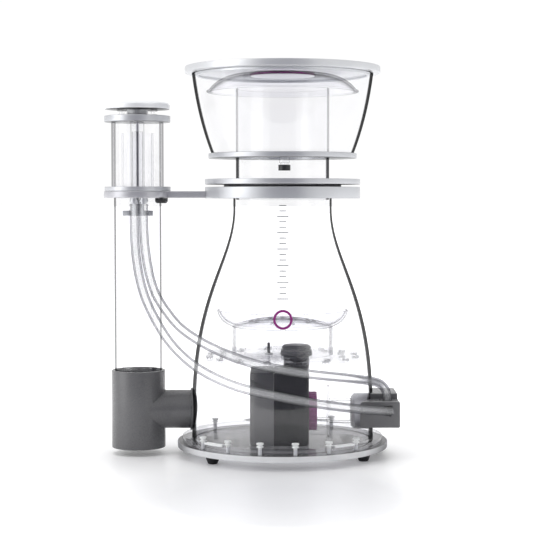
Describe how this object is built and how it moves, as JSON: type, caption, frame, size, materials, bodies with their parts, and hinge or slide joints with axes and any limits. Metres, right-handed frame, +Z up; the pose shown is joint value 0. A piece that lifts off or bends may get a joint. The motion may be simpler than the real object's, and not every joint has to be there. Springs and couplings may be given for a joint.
{
  "type": "protein skimmer",
  "caption": "In-sump protein skimmer: clear conical body on a round base, collection cup with lid, needle-wheel pump, and an outlet column with a height-adjustable overflow and air silencer.",
  "frame": {"origin": "middle of the part's width and depth, on the surface that its rubber feet stand on", "axes": "+Z up along the body, +X from the outlet column towards the air block, -Y the front that the hoses pass"},
  "size_m": [0.3918, 0.2853, 0.5186],
  "materials": {
    "clear_acrylic": "clear polished acrylic",
    "satin_acrylic": "satin silver grey acrylic",
    "dark_pvc": "dark grey PVC, low sheen",
    "black_plastic": "black moulded plastic",
    "rubber": "black rubber",
    "nylon": "white nylon",
    "magenta_plastic": "magenta moulded plastic",
    "silicone": "translucent silicone hose",
    "pump_grey": "dark grey moulded plastic",
    "pump_dark": "near black moulded plastic"
  },
  "bodies": {
    "root": {"base_plate": "clear_acrylic", "body_flange": "clear_acrylic", "body_shell": "clear_acrylic", "body_collar": "satin_acrylic", "collar_seal": "rubber", "diffuser_skirt": "clear_acrylic", "diffuser_dish": "clear_acrylic", "bubble_plate": "clear_acrylic", "pump_motor": "pump_grey", "pump_volute": "pump_dark", "pump_outlet": "black_plastic", "cable_gland": "black_plastic", "intake_pipe": "clear_acrylic", "intake_socket": "dark_pvc", "air_block": "dark_pvc", "outlet_tee": "dark_pvc", "tee_bush": "dark_pvc", "outlet_pipe": "clear_acrylic", "branch_pipe": "dark_pvc", "branch_gasket": "rubber", "column_bracket": "satin_acrylic", "silencer_base": "satin_acrylic", "hose_nipple_1": "satin_acrylic", "hose_nipple_2": "satin_acrylic", "silencer_cylinder": "clear_acrylic", "silencer_sleeve": "clear_acrylic", "rod_guide": "clear_acrylic", "silencer_cap": "satin_acrylic", "vent_ring": "clear_acrylic", "air_hose_top": "silicone", "air_hose_front": "silicone", "foot_1": "rubber", "foot_2": "rubber", "foot_3": "rubber", "foot_4": "rubber", "flange_screw_1": "nylon", "flange_screw_2": "nylon", "flange_screw_3": "nylon", "flange_screw_4": "nylon", "flange_screw_5": "nylon", "flange_screw_6": "nylon", "flange_screw_7": "nylon", "flange_screw_8": "nylon"},
    "cup": {"cup_collar": "satin_acrylic", "riser_tube": "clear_acrylic", "cup_floor": "satin_acrylic", "cup_shell": "clear_acrylic", "drain_nipple": "clear_acrylic"},
    "lid": {"lid_disc": "satin_acrylic", "lid_inlay": "magenta_plastic", "lid_deflector": "clear_acrylic"},
    "drain_cap": {"drain_cap": "black_plastic"},
    "rotor": {"rotor_shaft": "black_plastic", "impeller": "nylon"},
    "union_nut": {"union_nut": "magenta_plastic"},
    "overflow": {"overflow_tube": "clear_acrylic", "overflow_spider": "satin_acrylic"},
    "adjuster": {"adjuster_knob": "satin_acrylic", "adjuster_rod": "black_plastic"},
    "bracket_screw": {"bracket_screw": "black_plastic"}
  },
  "joints": [
    {"name": "cup_lift", "type": "slide", "parent": "root", "child": "cup", "axis": [0, 0, 1], "range_m": [0, 0.06]},
    {"name": "lid_lift", "type": "slide", "parent": "cup", "child": "lid", "axis": [0, 0, 1], "range_m": [0, 0.06]},
    {"name": "drain_cap_turn", "type": "hinge", "parent": "cup", "child": "drain_cap", "pos_m": [0.0449, -0.08, 0.3826], "axis": [0, 0, 1], "range_deg": [0, 720]},
    {"name": "knob_turn", "type": "hinge", "parent": "root", "child": "adjuster", "pos_m": [-0.1509, 0, 0.466], "axis": [0, 0, 1], "range_deg": [0, 720]},
    {"name": "overflow_lift", "type": "slide", "parent": "root", "child": "overflow", "axis": [0, 0, 1], "range_m": [0, 0.02]},
    {"name": "rotor_spin", "type": "hinge", "parent": "root", "child": "rotor", "pos_m": [0.0429, -0.022, 0.0605], "axis": [1, 0, 0], "continuous": true},
    {"name": "union_nut_turn", "type": "hinge", "parent": "root", "child": "union_nut", "pos_m": [0.0829, -0.022, 0.0605], "axis": [1, 0, 0], "range_deg": [0, 720]},
    {"name": "bracket_screw_turn", "type": "hinge", "parent": "root", "child": "bracket_screw", "pos_m": [-0.1174, -0.023, 0.34], "axis": [0, 0, 1], "range_deg": [0, 1080]}
  ],
  "couplings": [
    {"joint": "overflow_lift", "follows": "knob_turn", "m_per_rad": 0.00159}
  ]
}
